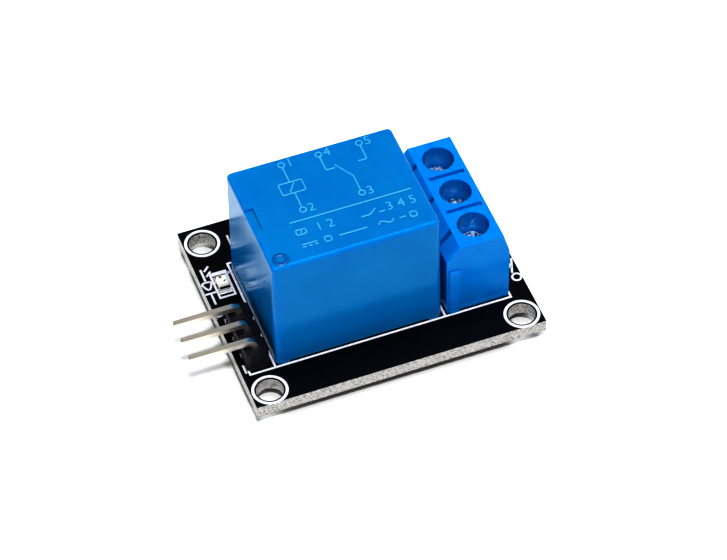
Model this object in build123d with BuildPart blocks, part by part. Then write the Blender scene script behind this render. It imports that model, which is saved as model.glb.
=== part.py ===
# A relay module board: one sealed relay with its drive parts, a three-way screw terminal
# and a three-pin header on a small circuit board.
# Millimetres. +Z is up, and +X runs from the pin header to the screw terminal.
# The origin is the middle of the four mounting holes, on the underside of the board.

import os
from math import cos, hypot, radians, sin

from build123d import *

os.makedirs("parts", exist_ok=True)

# Circuit board: bare margins round the relay and the screw terminal
left_margin = 3.86  # from the board's left edge to the relay
right_margin = 2.4  # from the screw terminal to the board's right edge
front_margin = 4.67  # from the board's front edge to the relay
back_margin = 6.63
block_gap = 0.54  # between the relay and the screw terminal
board_thickness = 1.6
board_shift_y = 0.28  # the board's middle lies this far behind the middle of the holes
hole_inset = 2.1  # from the board's edges, but for that shift
hole_diameter = 3.0
mask_thickness = 0.04
ink_thickness = 0.03
ink_line = 0.24
ring_gap = 0.17  # bare board between a mounting hole and its printed ring
ring_line = 0.32
lead_tail = 1.6  # every lead is cropped this far below the board
drill_clearance = 0.12
pad_width = 0.5
mask_clearance = 0.06
solder_height = 1.05

# Relay case
relay_length = 19.0
relay_width = 15.1
relay_height = 15.1
relay_standoff = 0.3
case_wall = 0.6
case_corner = 0.7
case_edge = 0.45
case_draft = 0.588
case_fit = 0.05
foot_length = 1.6
notch_length = 3.26
notch_width = 0.9
notch_depth = 0.3
mark_radius = 0.85
mark_line = 0.2
mark_depth = 0.08
mark_inset_x = 1.5
mark_inset_y = 1.35
seal_thickness = 0.7
base_thickness = 1.4

# Relay leads
common_inset = 2.4  # from the case's left end
contact_inset = 2.4  # from its right end
coil_pin_step = 2.0
row_inset = 1.55  # from the case's long sides
strip_thickness = 0.4
strip_width = 1.0
coil_pin_diameter = 0.6
lead_fit = 0.03

# Relay magnet
yoke_thickness = 1.0
yoke_step = 0.4  # from the bobbin's side in to the yoke's
yoke_gap = 0.15  # between the yoke and the bobbin
headroom = 3.7  # from the yoke's upper edge to the top of the case
leaf_thickness = 0.2
leaf_width = 3.0
leaf_reach = 1.2  # over the armature
leaf_lift = 0.16  # above the armature at rest, so that it clears it
leaf_bow = 0.15
strip_drop = 2.5  # from the yoke's upper edge down to the end of the common strip
core_share = 0.341  # of the bobbin's width
pole_share = 0.66
pole_thickness = 0.5
pole_gap = 0.04
bobbin_wall = 0.6
bobbin_flange = 0.8
bobbin_share = 0.762  # of the room between the yoke and the contact strips
pin_rim = 0.3  # plastic outside the coil pins
pin_hold = 0.8  # above the bobbin's flange
winding_inset = 0.25
bobbin_fit = 0.05

# Relay armature and contacts
armature_swing = 2.4  # degrees from released to pulled in
armature_thickness = 1.0
armature_step = 0.2  # from the yoke's side in to the armature's
armature_overhang = 0.4
armature_corner = 1.2
pivot_gap = 0.03
rivet_diameter = 1.1
rivet_height = 0.3
rivet_inset = 1.2  # from the end of the contact spring
rivet_step = 2.4
spring_thickness = 0.15
spring_width = 3.4
spring_start = 1.7
spring_neck = 1.5  # the narrow end begins this far before the contact
spring_edge = 0.25  # beside the contact
spring_tip = 0.35  # beyond the contact
contact_diameter = 1.6
contact_head = 0.35
contact_shank = 0.8
contact_gap = 0.04
tongue_width = 2.2
tongue_overhang = 1.2
post_wall = 0.4
post_drop = 1.0  # below the lower tongue

# Screw terminal
block_shift_y = 0.36  # behind the relay's middle
pole_pitch = 5.08
pole_count = 3
block_end_wall = 0.1  # beyond the outer poles at each end
block_depth = 7.2
block_height = 10.0
rear_shoulder_height = 8.08
rear_shoulder_inset = 1.5
front_shoulder_height = 7.3
front_shoulder_inset = 0.74
well_offset = 0.43
slot_width = 0.55
slot_length = 4.0
slot_depth = 0.5
probe_width = 0.65
probe_depth = 0.6
ledge_thickness = 0.6
chamber_rear_wall = 1.0
chamber_front_wall = 1.15
entry_width = 3.0
entry_height = 2.6
entry_sill = 0.7
entry_flare = 0.35
rib_width = 1.15
rib_flare = 0.2
rib_depth = 0.3
rib_height = 6.6
rib_inset = 0.25
rib_fit = 0.1

# Clamp screws and cages
screw_diameter = 2.5
screw_fit = 0.06
head_diameter = 3.3
head_height = 1.1
head_fit = 0.09
head_lift = 0.05  # above the ledge that the head turns on
screw_slot_width = 0.6
screw_slot_depth = 0.7
cage_depth = 3.4
cage_width = 3.9
cage_wall = 0.5
cage_top = 0.8
cage_window = 2.5
cage_lift = 0.3
cage_travel = 1.2
cage_fit = 0.15  # on each side of the cage
cage_headroom = 0.15  # left above the cage at the top of its travel
bar_thickness = 0.6
bar_width = 2.4
bar_overhang = 0.3
bar_fit = 0.05
pin_width = 1.0

# Pin header
header_inset_x = 1.98  # from the board's left edge
header_inset_y = 8.6  # from its front edge
header_pitch = 2.54
header_count = 3
header_height = 2.54
header_chamfer = 0.42
pin_size = 0.64
pin_fit = 0.01
pin_bend = 0.8
pin_rise = 0.98  # from the top of the plastic to the middle of the level run
pin_reach = 7.35
pin_point = 0.16

# Surface parts
chip_length = 2.0
chip_width = 1.25
chip_cap = 0.35
chip_cap_lift = 0.03
led_inset = 2.26  # from the board's left edge
led_step = 8.94  # from the middle of the header
led_base_height = 0.45
led_lens_height = 0.45
led_lens_length = 1.3
led_lens_width = 1.15
row_step = 3.25  # from the relay to the row of small parts behind it
resistor_height = 0.5
transistor_step_x = 3.04  # from the relay's left end
diode_step_x = 8.2  # from the transistor
resistor_step_x = 5.6  # from the diode
resistor_pitch = 4.2
transistor_length = 2.9
transistor_width = 1.3
transistor_height = 1.0
transistor_lead_pitch = 0.95
transistor_lead_width = 0.4
diode_length = 2.7
diode_width = 1.6
diode_height = 1.1
diode_lead_width = 0.55
leg_thickness = 0.14
leg_foot = 0.5
leg_gap = 0.08  # between a moulded body and the board
pad_margin = 0.25

# The board's size, and where everything stands on it
board_length = left_margin + relay_length + block_gap + block_depth + right_margin
board_width = front_margin + relay_width + back_margin
board_left = -board_length / 2
board_front = board_shift_y - board_width / 2
hole_spacing_x = board_length - 2 * hole_inset
hole_spacing_y = board_width - 2 * hole_inset
relay_left = board_left + left_margin
relay_right = relay_left + relay_length
relay_x = (relay_left + relay_right) / 2
relay_y = board_front + front_margin + relay_width / 2
block_rear = relay_right + block_gap
block_front = block_rear + block_depth
block_x = (block_rear + block_front) / 2
block_y = relay_y + block_shift_y
header_x = board_left + header_inset_x
header_y = board_front + header_inset_y
led_x = board_left + led_inset
led_y = header_y + led_step
row_y = relay_y + relay_width / 2 + row_step
transistor_x = relay_left + transistor_step_x
diode_x = transistor_x + diode_step_x
resistor_1_x = diode_x + resistor_step_x
resistor_2_x = resistor_1_x + resistor_pitch

# Where the leads go through the board
board_top = board_thickness
common_x = relay_left + common_inset
coil_pin_x = common_x + coil_pin_step
contact_x = relay_right - contact_inset
row_half = relay_width / 2 - row_inset
well_x = block_x + well_offset
block_pin_x = block_rear + chamber_rear_wall + bar_thickness / 2 + bar_fit
pole_places = [block_y + pole_pitch * (k - (pole_count - 1) / 2) for k in range(pole_count)]
header_places = [header_y - header_pitch * (k - (header_count - 1) / 2) for k in range(header_count)]

strip_leads = [(common_x, relay_y), (contact_x, relay_y - row_half), (contact_x, relay_y + row_half)]
coil_leads = [(coil_pin_x, relay_y - row_half), (coil_pin_x, relay_y + row_half)]
block_leads = [(block_pin_x, y) for y in pole_places]
header_leads = [(header_x, y) for y in header_places]
strip_drill = hypot(strip_width, strip_thickness) / 2 + drill_clearance
coil_drill = coil_pin_diameter / 2 + drill_clearance
block_drill = hypot(pin_width, bar_thickness) / 2 + drill_clearance
header_drill = hypot(pin_size, pin_size) / 2 + drill_clearance
drilled = [(strip_leads, strip_drill), (coil_leads, coil_drill)]
drilled += [(block_leads, block_drill), (header_leads, header_drill)]


def board_outline():
    """The board's edge and its four mounting holes."""
    with Locations((0, board_shift_y)):
        Rectangle(board_length, board_width)
    with GridLocations(hole_spacing_x, hole_spacing_y, 2, 2):
        Circle(hole_diameter / 2, mode=Mode.SUBTRACT)


def lead_circles(extra, mode=Mode.ADD):
    """One circle around every lead, wider than the drilled hole by extra on the radius."""
    for places, radius in drilled:
        with Locations(*places):
            Circle(radius + extra, mode=mode)


# The land under each end of a surface part: its place and its size
chip_step = (chip_length - chip_cap) / 2
chip_land = (chip_cap + 2 * pad_margin, chip_width + pad_margin)
transistor_step = transistor_width / 2 + leg_foot / 2 + leg_thickness
diode_step = diode_length / 2 + leg_foot / 2 + leg_thickness
transistor_land = (transistor_lead_width + pad_margin, leg_foot + 2 * pad_margin)
diode_land = (leg_foot + 2 * pad_margin, diode_lead_width + pad_margin)
transistor_legs = [(transistor_x - transistor_lead_pitch, row_y - transistor_step)]
transistor_legs += [(transistor_x + transistor_lead_pitch, row_y - transistor_step)]
transistor_legs += [(transistor_x, row_y + transistor_step)]
lands = [((x + side * chip_step, row_y), chip_land) for x in (resistor_1_x, resistor_2_x) for side in (-1, 1)]
lands += [((led_x, led_y + side * chip_step), (chip_land[1], chip_land[0])) for side in (-1, 1)]
lands += [(place, transistor_land) for place in transistor_legs]
lands += [((diode_x + side * diode_step, row_y), diode_land) for side in (-1, 1)]


def surface_lands(extra, mode=Mode.ADD):
    """One rectangle under each end of a surface part, larger by extra on every side."""
    for place, size in lands:
        with Locations(place):
            Rectangle(size[0] + 2 * extra, size[1] + 2 * extra, mode=mode)


# The board itself, drilled for the leads
with BuildPart() as board_core:
    with BuildSketch(Plane.XY.offset(mask_thickness)):
        board_outline()
        lead_circles(0, Mode.SUBTRACT)
    extrude(amount=board_thickness - 2 * mask_thickness)
board_core.part.label = "board_core"
export_step(board_core.part, "parts/board_core.step")

# Solder mask, open over the copper
with BuildPart() as solder_mask_top:
    with BuildSketch(Plane.XY.offset(board_top - mask_thickness)):
        board_outline()
        lead_circles(0, Mode.SUBTRACT)
        surface_lands(mask_clearance, Mode.SUBTRACT)
    extrude(amount=mask_thickness)
solder_mask_top.part.label = "solder_mask_top"
export_step(solder_mask_top.part, "parts/solder_mask_top.step")

with BuildPart() as solder_mask_bottom:
    with BuildSketch(Plane.XY):
        board_outline()
        lead_circles(pad_width + mask_clearance, Mode.SUBTRACT)
    extrude(amount=mask_thickness)
solder_mask_bottom.part.label = "solder_mask_bottom"
export_step(solder_mask_bottom.part, "parts/solder_mask_bottom.step")

# Copper lands for the surface parts above, and rings around the leads below
with BuildPart() as top_pads:
    with BuildSketch(Plane.XY.offset(board_top - mask_thickness)):
        surface_lands(0)
    extrude(amount=mask_thickness)
top_pads.part.label = "top_pads"
export_step(top_pads.part, "parts/top_pads.step")

with BuildPart() as bottom_pads:
    with BuildSketch(Plane.XY):
        lead_circles(pad_width)
        lead_circles(0, Mode.SUBTRACT)
    extrude(amount=mask_thickness)
bottom_pads.part.label = "bottom_pads"
export_step(bottom_pads.part, "parts/bottom_pads.step")

# Printed rings and outlines
header_length = header_count * header_pitch
block_length = pole_count * pole_pitch + 2 * block_end_wall
print_front = relay_y - relay_width / 2 - 0.17
print_back = relay_y + relay_width / 2 + 0.45
print_left = header_x - header_pitch / 2 + 0.135
print_right = block_front + 0.13
relay_line_x = relay_left - 0.16
led_box_length = 3.46
led_box_width = 1.75
transistor_box_left = transistor_x - transistor_length / 2 - 0.44
block_line_y = block_y + block_length / 2 + 0.25
with BuildPart() as board_print:
    with BuildSketch(Plane.XY.offset(board_top)):
        with GridLocations(hole_spacing_x, hole_spacing_y, 2, 2):
            Circle(hole_diameter / 2 + ring_gap + ring_line)
            Circle(hole_diameter / 2 + ring_gap, mode=Mode.SUBTRACT)
        with Locations(((print_left + print_right) / 2, print_front)):
            Rectangle(print_right - print_left, ink_line)
        with Locations((print_right, (print_front + block_line_y) / 2)):
            Rectangle(ink_line, block_line_y - print_front + ink_line)
        with Locations(((block_rear + print_right) / 2, block_line_y)):
            Rectangle(print_right - block_rear, ink_line)
        with Locations((relay_line_x, (print_front + print_back) / 2)):
            Rectangle(ink_line, print_back - print_front + ink_line)
        with Locations(((relay_line_x + block_rear) / 2, print_back)):
            Rectangle(block_rear - relay_line_x + ink_line, ink_line)
        with Locations((block_rear - block_gap / 2, (print_front + print_back) / 2)):
            Rectangle(ink_line, print_back - print_front)
        header_line_y = header_y + header_length / 2 + 0.3
        with Locations((print_left, (print_front + header_line_y) / 2)):
            Rectangle(ink_line, header_line_y - print_front + ink_line)
        with Locations((led_x, led_y)):
            Rectangle(led_box_width + ink_line, led_box_length + ink_line)
            Rectangle(led_box_width - ink_line, led_box_length - ink_line, mode=Mode.SUBTRACT)
        with Locations((led_x, led_y + led_box_length / 2)):
            Rectangle(led_box_width + ink_line, 2 * ink_line)
        for side in (-1, 1):
            with Locations((transistor_x + side * (transistor_x - transistor_box_left), row_y)):
                Rectangle(ink_line, transistor_width + 2 * leg_foot)
    extrude(amount=ink_thickness)
board_print.part.label = "board_print"
export_step(board_print.part, "parts/board_print.step")

# Relay case: a thin box with a little draft, open below, that stands on four short feet
case_bottom = board_top + relay_standoff
case_height = relay_height - relay_standoff
case_top = board_top + relay_height
inner_length = relay_length - 2 * case_wall
inner_width = relay_width - 2 * case_wall
with BuildPart() as relay_case:
    with BuildSketch(Plane.XY.offset(case_bottom)):
        with Locations((relay_x, relay_y)):
            RectangleRounded(relay_length, relay_width, case_corner)
    extrude(amount=case_height, taper=case_draft)
    fillet(relay_case.faces().sort_by(Axis.Z)[-1].edges(), case_edge)
    with BuildSketch(Plane.XY.offset(case_bottom)):
        with Locations((relay_x, relay_y)):
            RectangleRounded(inner_length, inner_width, case_corner / 2)
    extrude(amount=case_height - case_wall, taper=case_draft, mode=Mode.SUBTRACT)
    with BuildSketch(Plane.XY.offset(board_top)):
        with Locations((relay_x, relay_y)):
            RectangleRounded(relay_length, relay_width, case_corner)
            RectangleRounded(inner_length, inner_width, case_corner / 2, mode=Mode.SUBTRACT)
            Rectangle(relay_length, relay_width - 2 * foot_length, mode=Mode.SUBTRACT)
            Rectangle(relay_length - 2 * foot_length, relay_width, mode=Mode.SUBTRACT)
    extrude(amount=relay_standoff)
    with BuildSketch(Plane.XY.offset(case_top - notch_depth)):
        with Locations((relay_left + notch_width / 2, relay_y)):
            Rectangle(notch_width + case_wall, notch_length)
    extrude(amount=2 * notch_depth, mode=Mode.SUBTRACT)
    with BuildSketch(Plane.XY.offset(case_top - mark_depth)):
        with Locations((relay_left + mark_inset_x, relay_y - relay_width / 2 + mark_inset_y)):
            Circle(mark_radius)
            Circle(mark_radius - mark_line, mode=Mode.SUBTRACT)
    extrude(amount=2 * mark_depth, mode=Mode.SUBTRACT)
relay_case.part.label = "relay_case"
export_step(relay_case.part, "parts/relay_case.step")


def relay_lead_slots(clearance):
    """The holes for the relay's five leads, in the seal and the base."""
    with Locations((common_x, relay_y)):
        Rectangle(strip_thickness + 2 * clearance, strip_width + 2 * clearance, mode=Mode.SUBTRACT)
    with Locations(*strip_leads[1:]):
        Rectangle(strip_width + 2 * clearance, strip_thickness + 2 * clearance, mode=Mode.SUBTRACT)
    with Locations(*coil_leads):
        Circle(coil_pin_diameter / 2 + clearance, mode=Mode.SUBTRACT)


# Resin that closes the case below the base
base_bottom = case_bottom + seal_thickness
base_top = base_bottom + base_thickness
with BuildPart() as relay_seal:
    with BuildSketch(Plane.XY.offset(case_bottom)):
        with Locations((relay_x, relay_y)):
            RectangleRounded(inner_length - 2 * case_fit, inner_width - 2 * case_fit, case_corner / 2)
        relay_lead_slots(0)
    extrude(amount=seal_thickness)
relay_seal.part.label = "relay_seal"
export_step(relay_seal.part, "parts/relay_seal.step")

# Relay base, with a post on each side that steadies a contact strip
yoke_back = common_x + strip_thickness / 2 + leaf_thickness
yoke_front = yoke_back + yoke_thickness
yoke_top = case_top - headroom
yoke_height = yoke_top - base_top
bobbin_rear = yoke_front + yoke_gap
flange_radius = bobbin_share * (contact_x - tongue_width / 2 - bobbin_rear) / 2
coil_x = bobbin_rear + flange_radius
core_diameter = core_share * 2 * flange_radius
pole_diameter = pole_share * 2 * flange_radius
yoke_width = 2 * (flange_radius - yoke_step)
armature_width = yoke_width - 2 * armature_step
reach = contact_x - yoke_back
swing = radians(armature_swing)
armature_top = pivot_gap + armature_thickness
low_contact_top = yoke_top + armature_top - contact_head - contact_gap
low_tongue_top = low_contact_top - contact_head
moving_top = armature_top + spring_thickness + contact_head
moving_top_at_rest = yoke_top + moving_top * cos(swing) + reach * sin(swing)
high_contact_bottom = moving_top_at_rest + contact_diameter / 2 * sin(swing) + contact_gap
high_tongue_bottom = high_contact_bottom + contact_head
post_top = low_tongue_top - strip_thickness - post_drop
post_width = strip_thickness + 2 * lead_fit + 2 * post_wall
with BuildPart() as relay_base:
    with BuildSketch(Plane.XY.offset(base_bottom)):
        with Locations((relay_x, relay_y)):
            RectangleRounded(inner_length - 4 * case_fit, inner_width - 4 * case_fit, case_corner / 2)
        relay_lead_slots(lead_fit)
    extrude(amount=base_thickness)
    with BuildSketch(Plane.XY.offset(base_top)):
        with Locations(*strip_leads[1:]):
            Rectangle(tongue_width + 2 * lead_fit + 2 * post_wall, post_width)
            Rectangle(tongue_width + 2 * lead_fit, strip_thickness + 2 * lead_fit, mode=Mode.SUBTRACT)
    extrude(amount=post_top - base_top)
relay_base.part.label = "relay_base"
export_step(relay_base.part, "parts/relay_base.step")

# Yoke: an angled iron strip under and behind the coil
with BuildPart() as yoke:
    with BuildSketch(Plane.XZ.offset(-relay_y)):
        with BuildLine():
            Polyline(
                (yoke_back, base_top),
                (coil_x + flange_radius - yoke_thickness, base_top),
                (coil_x + flange_radius - yoke_thickness, base_top + yoke_thickness),
                (yoke_front, base_top + yoke_thickness),
                (yoke_front, yoke_top),
                (yoke_back, yoke_top),
                close=True,
            )
        make_face()
    extrude(amount=yoke_width / 2, both=True)
    outer_bend = yoke.edges().filter_by(Axis.Y).group_by(Axis.Z)[0].sort_by(Axis.X)[0]
    fillet(outer_bend, yoke_thickness / 2)
    with BuildSketch(Plane.XY.offset(base_top)):
        with Locations((coil_x, relay_y)):
            Circle(core_diameter / 2)
    extrude(amount=yoke_thickness, mode=Mode.SUBTRACT)
yoke.part.label = "yoke"
export_step(yoke.part, "parts/yoke.step")

# Iron core with its wide pole face
pole_top = yoke_top - pole_gap
pole_bottom = pole_top - pole_thickness
with BuildPart() as coil_core:
    with BuildSketch(Plane.XZ.offset(-relay_y)):
        with BuildLine():
            Polyline(
                (coil_x, base_top),
                (coil_x + core_diameter / 2, base_top),
                (coil_x + core_diameter / 2, pole_bottom),
                (coil_x + pole_diameter / 2, pole_bottom),
                (coil_x + pole_diameter / 2, pole_top),
                (coil_x, pole_top),
                close=True,
            )
        make_face()
    revolve(axis=Axis((coil_x, relay_y, 0), (0, 0, 1)))
coil_core.part.label = "coil_core"
export_step(coil_core.part, "parts/coil_core.step")

# Bobbin: a tube between two flanges, the lower one wide enough to hold the coil pins
bobbin_bottom = base_top + yoke_thickness
bobbin_bore = core_diameter / 2 + bobbin_fit
tube_radius = bobbin_bore + bobbin_wall
flange_wide = 2 * (row_half + coil_pin_diameter / 2 + pin_rim)
with BuildPart() as coil_bobbin:
    with BuildSketch(Plane.XY.offset(bobbin_bottom)):
        with Locations((coil_x, relay_y)):
            Rectangle(2 * flange_radius, flange_wide)
        with Locations(*coil_leads):
            Circle(coil_pin_diameter / 2, mode=Mode.SUBTRACT)
    extrude(amount=bobbin_flange)
    with BuildSketch(Plane.XY.offset(bobbin_bottom + bobbin_flange)):
        with Locations((coil_x, relay_y)):
            Circle(tube_radius)
    extrude(amount=pole_bottom - bobbin_bottom - 2 * bobbin_flange)
    with BuildSketch(Plane.XY.offset(pole_bottom - bobbin_flange)):
        with Locations((coil_x, relay_y)):
            RectangleRounded(2 * flange_radius, 2 * flange_radius, flange_radius / 2)
    extrude(amount=bobbin_flange)
    with BuildSketch(Plane.XY.offset(bobbin_bottom)):
        with Locations((coil_x, relay_y)):
            Circle(bobbin_bore)
    extrude(amount=pole_bottom - bobbin_bottom, mode=Mode.SUBTRACT)
coil_bobbin.part.label = "coil_bobbin"
export_step(coil_bobbin.part, "parts/coil_bobbin.step")

# Copper winding, a little fuller in the middle
winding_bottom = bobbin_bottom + bobbin_flange
winding_top = pole_bottom - bobbin_flange
winding_radius = flange_radius - winding_inset
with BuildPart() as coil_winding:
    with BuildSketch(Plane.XZ.offset(-relay_y)):
        with BuildLine():
            Line((coil_x + tube_radius, winding_top), (coil_x + tube_radius, winding_bottom))
            Line((coil_x + tube_radius, winding_bottom), (coil_x + winding_radius, winding_bottom))
            ThreePointArc(
                (coil_x + winding_radius, winding_bottom),
                (coil_x + winding_radius + winding_inset / 2, (winding_bottom + winding_top) / 2),
                (coil_x + winding_radius, winding_top),
            )
            Line((coil_x + winding_radius, winding_top), (coil_x + tube_radius, winding_top))
        make_face()
    revolve(axis=Axis((coil_x, relay_y, 0), (0, 0, 1)))
coil_winding.part.label = "coil_winding"
export_step(coil_winding.part, "parts/coil_winding.step")

# Two coil pins, from the bobbin through the base and the board
for number, (x, y) in enumerate(coil_leads, start=1):
    with BuildPart() as coil_pin:
        with BuildSketch(Plane.XY.offset(-lead_tail)):
            with Locations((x, y)):
                Circle(coil_pin_diameter / 2)
        extrude(amount=lead_tail + winding_bottom + pin_hold)
    coil_pin.part.label = f"coil_pin_{number}"
    export_step(coil_pin.part, f"parts/coil_pin_{number}.step")

# Common strip behind the yoke
strip_top = yoke_top - strip_drop
with BuildPart() as common_strip:
    with BuildSketch(Plane.YZ.offset(common_x - strip_thickness / 2)):
        with Locations((relay_y, (base_top - lead_tail) / 2)):
            Rectangle(strip_width, base_top + lead_tail)
        with Locations((relay_y, (base_top + strip_top) / 2)):
            Rectangle(leaf_width, strip_top - base_top)
    extrude(amount=strip_thickness)
common_strip.part.label = "common_strip"
export_step(common_strip.part, "parts/common_strip.step")

# Leaf spring, held between the common strip and the yoke, that bends over the armature's end
leaf_low = yoke_top + armature_top + leaf_lift
leaf_back = yoke_back - leaf_bow
leaf_end = yoke_back + leaf_reach
with BuildPart() as return_leaf:
    with BuildSketch(Plane.XZ.offset(-relay_y)):
        with BuildLine():
            Polyline(
                (yoke_back - leaf_thickness, base_top + yoke_thickness / 2),
                (yoke_back, base_top + yoke_thickness / 2),
                (yoke_back, yoke_top),
                (leaf_back, leaf_low),
                (leaf_end, leaf_low),
                (leaf_end, leaf_low + leaf_thickness),
                (leaf_back - leaf_thickness, leaf_low + leaf_thickness),
                (yoke_back - leaf_thickness, yoke_top),
                close=True,
            )
        make_face()
    extrude(amount=leaf_width / 2, both=True)
return_leaf.part.label = "return_leaf"
export_step(return_leaf.part, "parts/return_leaf.step")

# Armature, drawn released: it is tilted about the yoke's upper back edge
rest_x = (cos(swing), 0, sin(swing))
rest_up = (-sin(swing), 0, cos(swing))
rest_plane = Plane(origin=(yoke_back, relay_y, yoke_top), x_dir=rest_x, z_dir=rest_up)
armature_length = coil_x - yoke_back + pole_diameter / 2 + armature_overhang
rivet_x = [spring_start + rivet_inset, spring_start + rivet_inset + rivet_step]
with BuildPart() as armature:
    with BuildSketch(rest_plane.offset(pivot_gap)):
        with Locations((armature_length / 2, 0)):
            Rectangle(armature_length, armature_width)
    extrude(amount=armature_thickness)
    front_corners = armature.edges().filter_by(Axis(origin=(0, 0, 0), direction=rest_up))
    chamfer(front_corners.sort_by(Axis.X)[-2:], armature_corner)
    with BuildSketch(rest_plane.offset(armature_top)):
        with Locations(*[(x, 0) for x in rivet_x]):
            Circle(rivet_diameter / 2)
    extrude(amount=spring_thickness + rivet_height)
armature.part.label = "armature"
export_step(armature.part, "parts/armature.step")

# Contact spring, riveted on the armature, with the moving contact at its free end
spring_end = reach + contact_diameter / 2 + spring_tip
neck_half = contact_diameter / 2 + spring_edge
with BuildPart() as contact_spring:
    with BuildSketch(rest_plane.offset(armature_top)):
        with BuildLine():
            Polyline(
                (spring_start, -spring_width / 2),
                (armature_length, -spring_width / 2),
                (reach - spring_neck, -neck_half),
                (spring_end, -neck_half),
                (spring_end, neck_half),
                (reach - spring_neck, neck_half),
                (armature_length, spring_width / 2),
                (spring_start, spring_width / 2),
                close=True,
            )
        make_face()
        with Locations(*[(x, 0) for x in rivet_x]):
            Circle(rivet_diameter / 2, mode=Mode.SUBTRACT)
        with Locations((reach, 0)):
            Circle(contact_shank / 2, mode=Mode.SUBTRACT)
    extrude(amount=spring_thickness)
contact_spring.part.label = "contact_spring"
export_step(contact_spring.part, "parts/contact_spring.step")

with BuildPart() as moving_contact:
    with BuildSketch(rest_plane.offset(armature_top - contact_head)):
        with Locations((reach, 0)):
            Circle(contact_diameter / 2)
    extrude(amount=contact_head)
    with BuildSketch(rest_plane.offset(armature_top)):
        with Locations((reach, 0)):
            Circle(contact_shank / 2)
    extrude(amount=spring_thickness)
    with BuildSketch(rest_plane.offset(armature_top + spring_thickness)):
        with Locations((reach, 0)):
            Circle(contact_diameter / 2)
    extrude(amount=contact_head)
moving_contact.part.label = "moving_contact"
export_step(moving_contact.part, "parts/moving_contact.step")


def contact_strip(side, tongue_bottom):
    """A strip from its solder lead up to a tongue that reaches over the middle."""
    tongue_top = tongue_bottom + strip_thickness
    outside = relay_y + side * (row_half + strip_thickness / 2)
    inside = relay_y + side * (row_half - strip_thickness / 2)
    tip = relay_y - side * tongue_overhang
    with BuildSketch(Plane.YZ.offset(contact_x)) as bent:
        with BuildLine():
            Polyline(
                (outside, base_top),
                (outside, tongue_top),
                (tip, tongue_top),
                (tip, tongue_bottom),
                (inside, tongue_bottom),
                (inside, base_top),
                close=True,
            )
        make_face()
    extrude(bent.sketch, amount=tongue_width / 2, both=True)
    with BuildSketch(Plane.XY.offset(-lead_tail)) as lead:
        with Locations((contact_x, relay_y + side * row_half)):
            Rectangle(strip_width, strip_thickness)
    extrude(lead.sketch, amount=base_top + lead_tail)


# Normally open contact, below the moving one
with BuildPart() as open_strip:
    contact_strip(1, low_tongue_top - strip_thickness)
open_strip.part.label = "open_strip"
export_step(open_strip.part, "parts/open_strip.step")

with BuildPart() as open_contact:
    with BuildSketch(Plane.XY.offset(low_tongue_top)):
        with Locations((contact_x, relay_y)):
            Circle(contact_diameter / 2)
    extrude(amount=contact_head)
open_contact.part.label = "open_contact"
export_step(open_contact.part, "parts/open_contact.step")

# Normally closed contact, above the moving one
with BuildPart() as closed_strip:
    contact_strip(-1, high_tongue_bottom)
closed_strip.part.label = "closed_strip"
export_step(closed_strip.part, "parts/closed_strip.step")

with BuildPart() as closed_contact:
    with BuildSketch(Plane.XY.offset(high_contact_bottom)):
        with Locations((contact_x, relay_y)):
            Circle(contact_diameter / 2)
    extrude(amount=contact_head)
closed_contact.part.label = "closed_contact"
export_step(closed_contact.part, "parts/closed_contact.step")

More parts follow.
